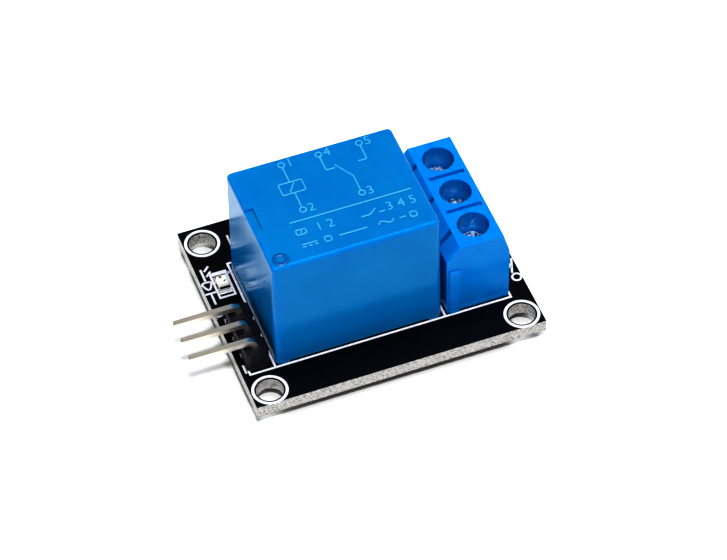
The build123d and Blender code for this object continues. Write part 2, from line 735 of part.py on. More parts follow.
# Terminal housing: one moulding with three wells, three chambers and three wire entries
block_top = board_top + block_height
cage_height = cage_wall + cage_window + cage_top
chamber_width = cage_width + 2 * cage_fit
chamber_height = cage_lift + cage_height + cage_travel + cage_headroom
chamber_rear = block_rear + chamber_rear_wall
chamber_front = block_front - chamber_front_wall
chamber_top = board_top + chamber_height
ledge_top = chamber_top + ledge_thickness
pole_rows = [(well_x, y) for y in pole_places]
pole_gaps = [(y + pole_pitch / 2) for y in pole_places[:-1]]
rib_x = block_rear + rib_inset + rib_width / 2
with BuildPart() as terminal_housing:
    with BuildSketch(Plane.XZ.offset(-block_y)):
        with BuildLine():
            Polyline(
                (block_rear, board_top),
                (block_rear, board_top + rear_shoulder_height),
                (block_rear + rear_shoulder_inset, block_top),
                (block_front - front_shoulder_inset, block_top),
                (block_front, board_top + front_shoulder_height),
                (block_front, board_top),
                close=True,
            )
        make_face()
    extrude(amount=block_length / 2, both=True)
    # Chambers for the clamp cages, open below
    with BuildSketch(Plane.XY.offset(board_top)):
        for y in pole_places:
            with Locations(((chamber_rear + chamber_front) / 2, y)):
                Rectangle(chamber_front - chamber_rear, chamber_width)
    extrude(amount=chamber_height, mode=Mode.SUBTRACT)
    # Holes for the screw shanks, and wells for the heads
    with BuildSketch(Plane.XY.offset(board_top)):
        with Locations(*pole_rows):
            Circle(screw_diameter / 2 + screw_fit)
    extrude(amount=block_height, mode=Mode.SUBTRACT)
    with BuildSketch(Plane.XY.offset(ledge_top)):
        with Locations(*pole_rows):
            Circle(head_diameter / 2 + head_fit)
    extrude(amount=block_top - ledge_top, mode=Mode.SUBTRACT)
    # Wire entries with a flared mouth
    with BuildSketch(Plane.YZ.offset(chamber_front)):
        for y in pole_places:
            with Locations((y, board_top + entry_sill + entry_height / 2)):
                Rectangle(entry_width, entry_height)
    extrude(amount=chamber_front_wall, mode=Mode.SUBTRACT)
    mouths = terminal_housing.faces().sort_by(Axis.X)[-1].inner_wires()
    chamfer([edge for wire in mouths for edge in wire.edges()], entry_flare)
    # Narrow slots on the top between the poles, and probe notches on the rear shoulder
    with BuildSketch(Plane.XY.offset(block_top - slot_depth)):
        for y in pole_gaps:
            with Locations((well_x, y)):
                Rectangle(slot_length, slot_width)
    extrude(amount=slot_depth, mode=Mode.SUBTRACT)
    with BuildSketch(Plane.XY.offset(board_top + rear_shoulder_height - probe_depth)):
        for y in pole_places:
            with Locations((block_rear + rear_shoulder_inset / 2, y)):
                Rectangle(rear_shoulder_inset, probe_width)
    extrude(amount=block_height, mode=Mode.SUBTRACT)
    # Dovetail rib on the front end, and its groove on the back end
    with BuildSketch(Plane.XY.offset(board_top)):
        with BuildLine():
            front_end = block_y - block_length / 2
            Polyline(
                (rib_x - rib_width / 2 + rib_flare, front_end),
                (rib_x - rib_width / 2, front_end - rib_depth),
                (rib_x + rib_width / 2, front_end - rib_depth),
                (rib_x + rib_width / 2 - rib_flare, front_end),
                close=True,
            )
        make_face()
    extrude(amount=rib_height)
    with BuildSketch(Plane.XY.offset(board_top)):
        with BuildLine():
            back_end = block_y + block_length / 2
            groove_half = rib_width / 2 + rib_fit
            Polyline(
                (rib_x - groove_half + rib_flare, back_end),
                (rib_x - groove_half, back_end - rib_depth),
                (rib_x + groove_half, back_end - rib_depth),
                (rib_x + groove_half - rib_flare, back_end),
                close=True,
            )
        make_face()
    extrude(amount=rib_height + rib_fit, mode=Mode.SUBTRACT)
terminal_housing.part.label = "terminal_housing"
export_step(terminal_housing.part, "parts/terminal_housing.step")

# Each pole has a screw that turns in place, a cage that climbs it, and a fixed bar with its lead
cage_bottom = board_top + cage_lift
cage_window_bottom = cage_bottom + cage_wall
cage_plate_bottom = cage_window_bottom + cage_window
bar_top = cage_plate_bottom - bar_fit
bar_bottom = bar_top - bar_thickness
screw_tip = bar_top + bar_fit
head_bottom = ledge_top + head_lift
for number, y in enumerate(pole_places, start=1):
    with BuildPart() as terminal_screw:
        with BuildSketch(Plane.XY.offset(screw_tip)):
            with Locations((well_x, y)):
                Circle(screw_diameter / 2)
        extrude(amount=head_bottom - screw_tip)
        with BuildSketch(Plane.XY.offset(head_bottom)):
            with Locations((well_x, y)):
                Circle(head_diameter / 2)
        extrude(amount=head_height)
        chamfer(terminal_screw.edges().group_by(Axis.Z)[-1], 0.15)
        chamfer(terminal_screw.edges().group_by(Axis.Z)[0], 0.2)
        with BuildSketch(Plane.XY.offset(head_bottom + head_height)):
            with Locations((well_x, y)):
                Rectangle(head_diameter, screw_slot_width, rotation=20)
        extrude(amount=-screw_slot_depth, mode=Mode.SUBTRACT)
    terminal_screw.part.label = f"terminal_screw_{number}"
    export_step(terminal_screw.part, f"parts/terminal_screw_{number}.step")

    with BuildPart() as clamp_cage:
        with BuildSketch(Plane.YZ.offset(well_x)):
            with Locations((y, cage_bottom + cage_height / 2)):
                Rectangle(cage_width, cage_height)
            with Locations((y, cage_window_bottom + cage_window / 2)):
                Rectangle(cage_width - 2 * cage_wall, cage_window, mode=Mode.SUBTRACT)
        extrude(amount=cage_depth / 2, both=True)
        fillet(clamp_cage.edges().filter_by(Axis.X).group_by(Axis.Z)[0], cage_wall * 0.8)
        with BuildSketch(Plane.XY.offset(cage_plate_bottom)):
            with Locations((well_x, y)):
                Circle(screw_diameter / 2 + screw_fit)
        extrude(amount=cage_top, mode=Mode.SUBTRACT)
    clamp_cage.part.label = f"clamp_cage_{number}"
    export_step(clamp_cage.part, f"parts/clamp_cage_{number}.step")

    leg_rear = block_pin_x - bar_thickness / 2
    leg_front = block_pin_x + bar_thickness / 2
    with BuildPart() as terminal_bar:
        with BuildSketch(Plane.XZ.offset(-y)):
            with BuildLine():
                Polyline(
                    (leg_rear, board_top + bar_thickness),
                    (leg_rear, bar_top),
                    (well_x + cage_depth / 2 + bar_overhang, bar_top),
                    (well_x + cage_depth / 2 + bar_overhang, bar_bottom),
                    (leg_front, bar_bottom),
                    (leg_front, board_top + bar_thickness),
                    close=True,
                )
            make_face()
        extrude(amount=bar_width / 2, both=True)
        bend = terminal_bar.edges().filter_by(Axis.Y).group_by(Axis.Z)[-1].sort_by(Axis.X)[0]
        fillet(bend, bar_thickness * 0.6)
        with BuildSketch(Plane.XY.offset(-lead_tail)):
            with Locations((block_pin_x, y)):
                Rectangle(bar_thickness, pin_width)
        extrude(amount=lead_tail + board_top + bar_thickness)
    terminal_bar.part.label = f"terminal_bar_{number}"
    export_step(terminal_bar.part, f"parts/terminal_bar_{number}.step")

# Header plastic: a row of eight-sided cells that stands on the printed outline
with BuildPart() as header_body:
    with BuildSketch(Plane.XY.offset(board_top + ink_thickness)):
        for y in header_places:
            with BuildLine():
                half = header_pitch / 2
                cut = half - header_chamfer
                Polyline(
                    (header_x - half, y - cut),
                    (header_x - cut, y - half),
                    (header_x + cut, y - half),
                    (header_x + half, y - cut),
                    (header_x + half, y + cut),
                    (header_x + cut, y + half),
                    (header_x - cut, y + half),
                    (header_x - half, y + cut),
                    close=True,
                )
            make_face()
        with Locations(*header_leads):
            Rectangle(pin_size + 2 * pin_fit, pin_size + 2 * pin_fit, mode=Mode.SUBTRACT)
    extrude(amount=header_height)
header_body.part.label = "header_body"
export_step(header_body.part, "parts/header_body.step")

# Header pins: up through the plastic, then bent level over the board's edge
run_z = board_top + header_height + pin_rise
run_end = header_x - pin_reach
inner_bend = pin_bend - pin_size / 2
for number, y in enumerate(header_places, start=1):
    with BuildPart() as header_pin:
        with BuildSketch(Plane.XZ.offset(-y)):
            with BuildLine():
                Polyline(
                    (header_x - pin_size / 2, -lead_tail),
                    (header_x + pin_size / 2, -lead_tail),
                    (header_x + pin_size / 2, run_z + pin_size / 2),
                    (run_end, run_z + pin_size / 2),
                    (run_end, run_z - pin_size / 2),
                    (header_x - pin_size / 2, run_z - pin_size / 2),
                    close=True,
                )
            make_face()
        extrude(amount=pin_size / 2, both=True)
        along = header_pin.edges().filter_by(Axis.Y).filter_by(lambda e: e.center().Z > board_top)
        at_bend = along.filter_by(lambda e: e.center().X > header_x - pin_size)
        fillet(at_bend.sort_by(Axis.X)[0], inner_bend)
        along = header_pin.edges().filter_by(Axis.Y).filter_by(lambda e: e.center().Z > run_z)
        fillet(along.sort_by(Axis.X)[-1], pin_bend + pin_size / 2)
        chamfer(header_pin.faces().sort_by(Axis.X)[0].edges(), pin_point)
        chamfer(header_pin.faces().sort_by(Axis.Z)[0].edges(), pin_point)
    header_pin.part.label = f"header_pin_{number}"
    export_step(header_pin.part, f"parts/header_pin_{number}.step")


def chip(x, y, across, height, cap_height):
    """A rectangular chip with a metal cap on each end, lying along Y where across is true."""
    turn = 90 if across else 0
    with BuildSketch(Plane.XY.offset(board_top + chip_cap_lift)) as block:
        with Locations((x, y)):
            Rectangle(chip_length - 2 * chip_cap_lift, chip_width - 2 * chip_cap_lift, rotation=turn)
    extrude(block.sketch, amount=height)
    with BuildSketch(Plane.XY.offset(board_top)) as caps:
        for side in (-1, 1):
            step = side * chip_step
            with Locations((x, y + step) if across else (x + step, y)):
                Rectangle(chip_cap, chip_width, rotation=turn)
    extrude(caps.sketch, amount=cap_height)


# Indicator: a white base with two caps, and a clear lens on it
led_top = board_top + chip_cap_lift + led_base_height
with BuildPart() as led_base:
    chip(led_x, led_y, True, led_base_height, led_base_height)
led_base.part.label = "led_base"
export_step(led_base.part, "parts/led_base.step")

with BuildPart() as led_lens:
    with BuildSketch(Plane.XY.offset(led_top)):
        with Locations((led_x, led_y)):
            Rectangle(led_lens_width, led_lens_length)
    extrude(amount=led_lens_height, taper=8)
    fillet(led_lens.faces().sort_by(Axis.Z)[-1].edges(), 0.12)
led_lens.part.label = "led_lens"
export_step(led_lens.part, "parts/led_lens.step")

# Two resistors in the row behind the relay
for number, x in enumerate((resistor_1_x, resistor_2_x), start=1):
    with BuildPart() as resistor:
        chip(x, row_y, False, resistor_height, resistor_height + 2 * chip_cap_lift)
    resistor.part.label = f"resistor_{number}"
    export_step(resistor.part, f"parts/resistor_{number}.step")


def leg_profile(start, reach_out, height):
    """A bent leg's side view: out of the body, down, and flat on its land."""
    foot = board_top
    sign = 1 if reach_out > 0 else -1
    knee = start + reach_out - sign * leg_foot
    Polyline(
        (start, height),
        (knee, height),
        (knee, foot),
        (start + reach_out, foot),
        (start + reach_out, foot + leg_thickness),
        (knee + sign * leg_thickness, foot + leg_thickness),
        (knee + sign * leg_thickness, height + leg_thickness),
        (start, height + leg_thickness),
        close=True,
    )


# Transistor with three legs
with BuildPart() as transistor_body:
    with BuildSketch(Plane.XY.offset(board_top + leg_gap)):
        with Locations((transistor_x, row_y)):
            Rectangle(transistor_length, transistor_width)
    extrude(amount=transistor_height)
    chamfer(transistor_body.faces().sort_by(Axis.Z)[-1].edges(), 0.12)
transistor_body.part.label = "transistor_body"
export_step(transistor_body.part, "parts/transistor_body.step")

transistor_leg_z = board_top + leg_gap + transistor_height / 2
with BuildPart() as transistor_leads:
    for x, y in transistor_legs:
        side = 1 if y > row_y else -1
        with BuildSketch(Plane.YZ.offset(x)):
            with BuildLine():
                leg_start = row_y + side * transistor_width / 2
                leg_profile(leg_start, side * (leg_thickness + leg_foot), transistor_leg_z)
            make_face()
        extrude(amount=transistor_lead_width / 2, both=True)
transistor_leads.part.label = "transistor_leads"
export_step(transistor_leads.part, "parts/transistor_leads.step")

# Diode across the coil
with BuildPart() as diode_body:
    with BuildSketch(Plane.XY.offset(board_top + leg_gap)):
        with Locations((diode_x, row_y)):
            Rectangle(diode_length, diode_width)
    extrude(amount=diode_height)
    chamfer(diode_body.faces().sort_by(Axis.Z)[-1].edges(), 0.12)
diode_body.part.label = "diode_body"
export_step(diode_body.part, "parts/diode_body.step")

diode_leg_z = board_top + leg_gap + diode_height / 2
with BuildPart() as diode_leads:
    for side in (-1, 1):
        with BuildSketch(Plane.XZ.offset(-row_y)):
            with BuildLine():
                leg_start = diode_x + side * diode_length / 2
                leg_profile(leg_start, side * (leg_thickness + leg_foot), diode_leg_z)
            make_face()
        extrude(amount=diode_lead_width / 2, both=True)
diode_leads.part.label = "diode_leads"
export_step(diode_leads.part, "parts/diode_leads.step")


def solder_joint(x, y, drill, half_diagonal):
    """Solder that fills a drilled hole and rises in a cone round the cropped lead."""
    pad = drill + pad_width * 0.85
    with BuildSketch(Plane.XZ.offset(-y)) as half:
        with BuildLine():
            Line((x, board_top - mask_thickness), (x + drill, board_top - mask_thickness))
            Line((x + drill, board_top - mask_thickness), (x + drill, 0))
            Line((x + drill, 0), (x + pad, 0))
            Line((x + pad, 0), (x + half_diagonal + 0.06, -solder_height))
            Line((x + half_diagonal + 0.06, -solder_height), (x, -solder_height))
            Line((x, -solder_height), (x, board_top - mask_thickness))
        make_face()
    revolve(half.sketch, axis=Axis((x, y, 0), (0, 0, 1)))


def lead_cut(places, size_x, size_y):
    """The leads' own sections, taken out of their solder."""
    with BuildSketch(Plane.XY.offset(-lead_tail)) as sections:
        with Locations(*places):
            Rectangle(size_x, size_y)
    extrude(sections.sketch, amount=lead_tail + board_thickness, mode=Mode.SUBTRACT)


# Solder joints under the relay
with BuildPart() as relay_solder:
    for x, y in strip_leads:
        solder_joint(x, y, strip_drill, hypot(strip_width, strip_thickness) / 2)
    for x, y in coil_leads:
        solder_joint(x, y, coil_drill, coil_pin_diameter / 2)
    lead_cut(strip_leads[:1], strip_thickness, strip_width)
    lead_cut(strip_leads[1:], strip_width, strip_thickness)
    with BuildSketch(Plane.XY.offset(-lead_tail)):
        with Locations(*coil_leads):
            Circle(coil_pin_diameter / 2)
    extrude(amount=lead_tail + board_thickness, mode=Mode.SUBTRACT)
relay_solder.part.label = "relay_solder"
export_step(relay_solder.part, "parts/relay_solder.step")

# Solder joints under the screw terminal
with BuildPart() as terminal_solder:
    for x, y in block_leads:
        solder_joint(x, y, block_drill, hypot(pin_width, bar_thickness) / 2)
    lead_cut(block_leads, bar_thickness, pin_width)
terminal_solder.part.label = "terminal_solder"
export_step(terminal_solder.part, "parts/terminal_solder.step")

# Solder joints under the header
with BuildPart() as header_solder:
    for x, y in header_leads:
        solder_joint(x, y, header_drill, hypot(pin_size, pin_size) / 2)
    lead_cut(header_leads, pin_size, pin_size)
header_solder.part.label = "header_solder"
export_step(header_solder.part, "parts/header_solder.step")
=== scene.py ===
from math import cos, pi, radians, sin

import bmesh
import bpy
from mathutils import Matrix, Vector


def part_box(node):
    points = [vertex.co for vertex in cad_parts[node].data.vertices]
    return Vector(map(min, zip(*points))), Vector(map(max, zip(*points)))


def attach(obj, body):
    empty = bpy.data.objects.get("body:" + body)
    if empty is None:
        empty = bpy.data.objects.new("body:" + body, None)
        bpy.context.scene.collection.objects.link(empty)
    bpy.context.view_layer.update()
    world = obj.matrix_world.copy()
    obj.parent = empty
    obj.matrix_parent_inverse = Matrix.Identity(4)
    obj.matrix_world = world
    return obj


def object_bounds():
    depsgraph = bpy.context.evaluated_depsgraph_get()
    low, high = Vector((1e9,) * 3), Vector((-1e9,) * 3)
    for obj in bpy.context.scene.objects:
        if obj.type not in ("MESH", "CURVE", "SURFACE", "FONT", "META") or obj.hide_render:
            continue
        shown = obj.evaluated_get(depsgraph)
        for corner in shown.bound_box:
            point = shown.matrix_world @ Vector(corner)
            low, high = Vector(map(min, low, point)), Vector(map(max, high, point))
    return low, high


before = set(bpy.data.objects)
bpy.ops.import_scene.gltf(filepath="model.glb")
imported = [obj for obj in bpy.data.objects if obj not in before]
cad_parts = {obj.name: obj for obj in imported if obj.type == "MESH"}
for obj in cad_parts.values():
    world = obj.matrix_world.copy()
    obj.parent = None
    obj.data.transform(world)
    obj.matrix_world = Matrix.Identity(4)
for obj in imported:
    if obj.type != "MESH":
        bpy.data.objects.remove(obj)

cad_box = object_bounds()


# The studio: a white table in a dim room, on which the board stands on its cropped leads.
# A small key lamp and a large soft one stand on the camera's side, so that shadows fall
# behind, a low lamp lights the left, and the camera looks down through a long lens.
mm = 0.001
table_z = cad_box[0][2]
table_half = 1.5
table_white = (0.84, 0.84, 0.84)
table_roughness = 0.9
table_shine = 0.1
room_light = 0.20
lamps = {  # power in watts, side in metres, place
    "key_lamp": (1.9, 0.05, (-0.066, -0.264, 0.534)),
    "soft_lamp": (2.6, 0.40, (0.16, -0.02, 0.68)),
    "side_lamp": (0.6, 0.25, (-0.55, -0.14, 0.05)),
}
camera_place = (-0.07975, -0.22460, 0.27668)
camera_turn = (40.87, 0.905, -20.675)
camera_lens = 165.7

table_corners = [(-table_half, -table_half, table_z), (table_half, -table_half, table_z),
                 (table_half, table_half, table_z), (-table_half, table_half, table_z)]
table_mesh = bpy.data.meshes.new("table")
table_mesh.from_pydata(table_corners, [], [(0, 1, 2, 3)])
table = bpy.data.objects.new("table", table_mesh)
bpy.context.scene.collection.objects.link(table)
table_paint = bpy.data.materials.new("white_table")
table_paint.use_nodes = True
table_shader = table_paint.node_tree.nodes["Principled BSDF"]
table_shader.inputs["Base Color"].default_value = (*table_white, 1)
table_shader.inputs["Roughness"].default_value = table_roughness
table_shader.inputs["Specular IOR Level"].default_value = table_shine
table_mesh.materials.append(table_paint)

world = bpy.data.worlds.new("dim_room")
world.use_nodes = True
world.node_tree.nodes["Background"].inputs["Color"].default_value = (1, 1, 1, 1)
world.node_tree.nodes["Background"].inputs["Strength"].default_value = room_light
bpy.context.scene.world = world

for lamp_name, (power, size, place) in lamps.items():
    lamp_data = bpy.data.lights.new(lamp_name, "AREA")
    lamp_data.energy = power
    lamp_data.size = size
    lamp = bpy.data.objects.new(lamp_name, lamp_data)
    lamp.location = place
    lamp.rotation_euler = (-Vector(place)).to_track_quat("-Z", "Y").to_euler()
    bpy.context.scene.collection.objects.link(lamp)

camera_data = bpy.data.cameras.new("camera")
camera_data.lens = camera_lens
camera_data.sensor_width = 36
camera_data.clip_start = 0.01
camera = bpy.data.objects.new("camera", camera_data)
camera.location = camera_place
camera.rotation_euler = [radians(angle) for angle in camera_turn]
bpy.context.scene.collection.objects.link(camera)
bpy.context.scene.camera = camera
bpy.context.scene.view_settings.view_transform = "Standard"
bpy.context.scene.view_settings.look = "Very High Contrast"


# The circuit board: glass cloth in resin, sawn to size, so its edge and the walls of its
# holes show the pale laminate. Both faces are covered with black solder mask, sprayed
# thin, with a slight orange-peel surface.
laminate_tones = ((0.56, 0.55, 0.53), (0.12, 0.115, 0.105))
mask_tones = ((0.0008, 0.0008, 0.0024), (0.0022, 0.0021, 0.0052))


def surface(name, tones, roughness, grain, depth, metallic=0.0, shine=0.5, stretch=(1, 1, 1), detail=3,
            edges=(0.35, 0.65)):
    """A material whose colour drifts between two tones and whose grain stands out by depth. The
    grain is a length in metres, stretch draws it out along an axis, and the closer the edges
    lie, the harder the tones part."""
    material = bpy.data.materials.new(name)
    material.use_nodes = True
    nodes, links = material.node_tree.nodes, material.node_tree.links
    shader = nodes["Principled BSDF"]
    shader.inputs["Metallic"].default_value = metallic
    shader.inputs["Specular IOR Level"].default_value = shine
    where = nodes.new("ShaderNodeTexCoord")
    draw = nodes.new("ShaderNodeMapping")
    draw.inputs["Scale"].default_value = stretch
    noise = nodes.new("ShaderNodeTexNoise")
    noise.name = "grain"
    noise.inputs["Scale"].default_value = 1 / grain
    noise.inputs["Detail"].default_value = detail
    tint = nodes.new("ShaderNodeValToRGB")
    tint.name = "tones"
    for element, edge, tone in zip(tint.color_ramp.elements, edges, tones):
        element.position = edge
        element.color = (*tone, 1)
    gloss = nodes.new("ShaderNodeMapRange")
    gloss.inputs["To Min"].default_value = roughness * 0.85
    gloss.inputs["To Max"].default_value = roughness * 1.15
    bump = nodes.new("ShaderNodeBump")
    bump.name = "relief"
    bump.inputs["Distance"].default_value = depth
    links.new(where.outputs["Object"], draw.inputs["Vector"])
    links.new(draw.outputs["Vector"], noise.inputs["Vector"])
    links.new(noise.outputs["Fac"], tint.inputs["Fac"])
    links.new(tint.outputs["Color"], shader.inputs["Base Color"])
    links.new(noise.outputs["Fac"], gloss.inputs["Value"])
    links.new(gloss.outputs["Result"], shader.inputs["Roughness"])
    links.new(noise.outputs["Fac"], bump.inputs["Height"])
    links.new(bump.outputs["Normal"], shader.inputs["Normal"])
    return material


def dress(material, *names):
    """Gives the named CAD nodes this material."""
    for name in names:
        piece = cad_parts[name]
        if not piece.material_slots:
            piece.data.materials.append(material)
        for place in piece.material_slots:
            place.material = material


laminate = surface("sawn_laminate", laminate_tones, roughness=0.28, grain=0.24 * mm, depth=0.02 * mm,
                   shine=1.0, stretch=(1, 1, 1.3), detail=2)
dress(laminate, "board_core")
mask = surface("black_solder_mask", mask_tones,
               roughness=0.42, grain=0.55 * mm, depth=0.012 * mm, shine=0.22)
dress(mask, "solder_mask_top", "solder_mask_bottom")


# Copper tracks: etched strips that lie under the solder mask and raise it a little. Those
# below carry the relay's contacts to the screw terminal, and the thin ones serve the coil
# and end in tinned holes that lead up to the small parts. No two on one side cross.
track_relief = 0.02 * mm
wide_track = 2.0 * mm
thin_track = 0.6 * mm
track_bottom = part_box("solder_mask_bottom")[0].z / mm
track_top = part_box("solder_mask_top")[1].z / mm


def new_tree(name, **inputs):
    """A node tree that takes a mesh and the named inputs, and its first and last nodes."""
    tree = bpy.data.node_groups.new(name, "GeometryNodeTree")
    sockets = tree.interface
    sockets.new_socket("Geometry", in_out="INPUT", socket_type="NodeSocketGeometry")
    for title, kind in inputs.items():
        sockets.new_socket(title, in_out="INPUT", socket_type=f"NodeSocket{kind}")
    sockets.new_socket("Geometry", in_out="OUTPUT", socket_type="NodeSocketGeometry")
    return tree, tree.nodes.new("NodeGroupInput"), tree.nodes.new("NodeGroupOutput")


def draw_along(tree, given, result, path, section):
    """Ends a tree: the section is drawn along the path, capped, made real and painted."""
    nodes, links = tree.nodes, tree.links
    upright = nodes.new("GeometryNodeSetCurveNormal")
    upright.mode = "Z_UP"
    bar = nodes.new("GeometryNodeCurveToMesh")
    bar.inputs["Fill Caps"].default_value = True
    whole = nodes.new("GeometryNodeRealizeInstances")
    painted = nodes.new("GeometryNodeSetMaterial")
    links.new(path, upright.inputs["Curve"])
    links.new(upright.outputs["Curve"], bar.inputs["Curve"])
    links.new(section, bar.inputs["Profile Curve"])
    links.new(bar.outputs["Mesh"], whole.inputs["Geometry"])
    links.new(whole.outputs["Geometry"], painted.inputs["Geometry"])
    links.new(given.outputs["Material"], painted.inputs["Material"])
    links.new(painted.outputs["Geometry"], result.inputs["Geometry"])


def flat_lines_tree():
    """A node tree that draws each chain of edges as a flat bar, rounded at its corners."""
    tree, given, result = new_tree("flat_lines", Width="Float", Thickness="Float", Material="Material")
    nodes, links = tree.nodes, tree.links
    chain = nodes.new("GeometryNodeMeshToCurve")
    corner = nodes.new("GeometryNodeFilletCurve")
    corner.mode = "POLY"
    corner.inputs["Count"].default_value = 3
    corner.inputs["Limit Radius"].default_value = True
    section = nodes.new("GeometryNodeCurvePrimitiveQuadrilateral")
    links.new(given.outputs["Geometry"], chain.inputs["Mesh"])
    links.new(chain.outputs["Curve"], corner.inputs["Curve"])
    links.new(given.outputs["Width"], corner.inputs["Radius"])
    links.new(given.outputs["Width"], section.inputs["Width"])
    links.new(given.outputs["Thickness"], section.inputs["Height"])
    draw_along(tree, given, result, corner.outputs["Curve"], section.outputs["Curve"])
    return tree


def grown(name, host, tree, **values):
    """The plain mesh that a node tree grows on a host mesh, as an object of its own."""
    bpy.context.scene.collection.objects.link(host)
    modifier = host.modifiers.new("grow", "NODES")
    modifier.node_group = tree
    for item in tree.interface.items_tree:
        if item.in_out == "INPUT" and item.name in values:
            modifier[item.identifier] = values[item.name]
    bpy.context.view_layer.update()
    seen = host.evaluated_get(bpy.context.evaluated_depsgraph_get())
    mesh = bpy.data.meshes.new_from_object(seen)
    piece = bpy.data.objects.new(name, mesh)
    bpy.context.scene.collection.objects.link(piece)
    host.modifiers.remove(modifier)
    bpy.data.objects.remove(host)
    return piece


def chains(name, paths):
    """A mesh of edges only, one chain to a path. A path that ends where it began is closed."""
    points, edges = [], []
    for path in paths:
        closed = path[0] == path[-1]
        steps = path[:-1] if closed else path
        first = len(points)
        points += [Vector(p) * mm for p in steps]
        edges += [(first + k, first + k + 1) for k in range(len(steps) - 1)]
        if closed:
            edges.append((len(points) - 1, first))
    mesh = bpy.data.meshes.new(name)
    mesh.from_pydata(points, edges, [])
    return bpy.data.objects.new(name, mesh)


def level(z, *paths):
    """Paths drawn on a level face, in millimetres."""
    return [[(x, y, z) for x, y in path] for path in paths]


def middle(node):
    """The middle of a node's box, in millimetres."""
    low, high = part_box(node)
    return (low + high) / 2 / mm


def lead(node, side, inset):
    """Where a part's lead goes through the board, at a distance from one end of its box."""
    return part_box(node)[side].x / mm + inset, middle(node).y


flat_lines = flat_lines_tree()
bar_inset, pin_inset = 0.3, -0.32
common, coil_1, coil_2 = middle("common_strip"), middle("coil_pin_1"), middle("coil_pin_2")
row_front, row_back = coil_1.y, coil_2.y
contact_lead_x = middle("open_contact").x
pole_1, pole_2, pole_3 = [lead(f"terminal_bar_{k}", 0, bar_inset) for k in (1, 2, 3)]
pin_1, pin_2, pin_3 = [lead(f"header_pin_{k}", 1, pin_inset) for k in (1, 2, 3)]
via_left, via_right, via_y = -10.55, -8.65, 8.4
power_tracks = level(
    track_bottom,
    [(contact_lead_x, row_front), (pole_1[0] - 1.6, row_front), pole_1],
    [(common.x, common.y), (1.5, common.y), (pole_2[0] - 2.0, pole_2[1]), pole_2],
    [(contact_lead_x, row_back), (pole_3[0] - 1.6, row_back), pole_3],
)
signal_tracks = level(
    track_bottom,
    [pin_1, (-12.9, pin_1[1]), (-12.9, 7.3), (via_right, 7.3), (via_right, via_y)],
    [pin_2, (-12.0, pin_2[1]), (-12.0, row_back), (coil_2.x, row_back)],
    [pin_3, (-15.8, pin_3[1] - 0.6), (-15.8, 7.4), (-14.6, via_y), (via_left, via_y)],
)
signal_tracks += level(track_top, [(coil_1.x, row_front), (coil_1.x, -4.2), (-2.8, -4.2), (-2.8, 9.6)])
power_copper = grown("power_tracks", chains("power_paths", power_tracks), flat_lines,
                     Width=wide_track, Thickness=2 * track_relief, Material=mask)
signal_copper = grown("signal_tracks", chains("signal_paths", signal_tracks), flat_lines,
                      Width=thin_track, Thickness=2 * track_relief, Material=mask)
for piece in (power_copper, signal_copper):
    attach(piece, "board")


# Vias: small holes plated through, each with a bare tinned ring below, where the tracks
# from the first and third pins come up to the small parts.
via_radius = 0.32
via_line = 0.26 * mm
via_height = 0.03 * mm


def ring(x, y, radius, count=20):
    """A closed circle of points."""
    turns = [2 * pi * k / count for k in range(count)]
    points = [(x + radius * cos(turn), y + radius * sin(turn)) for turn in turns]
    return points + points[:1]


via_tin = surface("tinned_hole", ((0.80, 0.79, 0.75), (0.68, 0.66, 0.61)),
                  roughness=0.4, grain=0.4 * mm, depth=0.004 * mm, metallic=1.0)
via_paths = level(track_bottom - 0.01, *[ring(x, via_y, via_radius, 16) for x in (via_left, via_right)])
vias = grown("via_rings", chains("via_paths", via_paths), flat_lines,
             Width=via_line, Thickness=via_height, Material=via_tin)
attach(vias, "board")


# The board's white print: screen-printed ink. The rings and outlines are the CAD node, and
# the marks beside them are plain signs: a lamp at the indicator, a 1 and a minus at the
# pins, and an open contact, a 2 and a 3 at the terminal's poles.
ink_tones = ((0.66, 0.67, 0.74), (0.50, 0.51, 0.58))
sign_line = 0.25 * mm
sign_ink = 0.03 * mm
sign_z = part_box("board_print")[1].z / mm - 0.015
lamp_x = -15.85
pole_x = 15.85
pole_digit_height = 1.3
white_ink = surface("white_ink", ink_tones, roughness=0.6, grain=0.3 * mm, depth=0.006 * mm)
dress(white_ink, "board_print")


def figures(name, text, height, place, turn, thickness, material):
    """Digits as a thin mesh, centred on a point of a level face and turned about it. Their
    height is seven tenths of the type's size."""
    words = bpy.data.curves.new(name, "FONT")
    words.body = text
    words.size = height * mm / 0.7
    words.extrude = thickness / 2
    words.align_x = "CENTER"
    words.align_y = "CENTER"
    words.resolution_u = 3
    source = bpy.data.objects.new(name + "_source", words)
    bpy.context.scene.collection.objects.link(source)
    bpy.context.view_layer.update()
    mesh = bpy.data.meshes.new_from_object(source.evaluated_get(bpy.context.evaluated_depsgraph_get()))
    bpy.data.objects.remove(source)
    mesh.transform(Matrix.Translation(Vector(place) * mm) @ Matrix.Rotation(radians(turn), 4, "Z"))
    mesh.materials.clear()
    mesh.materials.append(material)
    piece = bpy.data.objects.new(name, mesh)
    bpy.context.scene.collection.objects.link(piece)
    return piece


def join(name, pieces):
    """Several meshes of one body as one piece."""
    whole = bmesh.new()
    for piece in pieces:
        whole.from_mesh(piece.data)
    mesh = bpy.data.meshes.new(name)
    whole.to_mesh(mesh)
    whole.free()
    mesh.materials.append(pieces[0].data.materials[0])
    for piece in pieces:
        bpy.data.objects.remove(piece)
    joined = bpy.data.objects.new(name, mesh)
    bpy.context.scene.collection.objects.link(joined)
    return joined


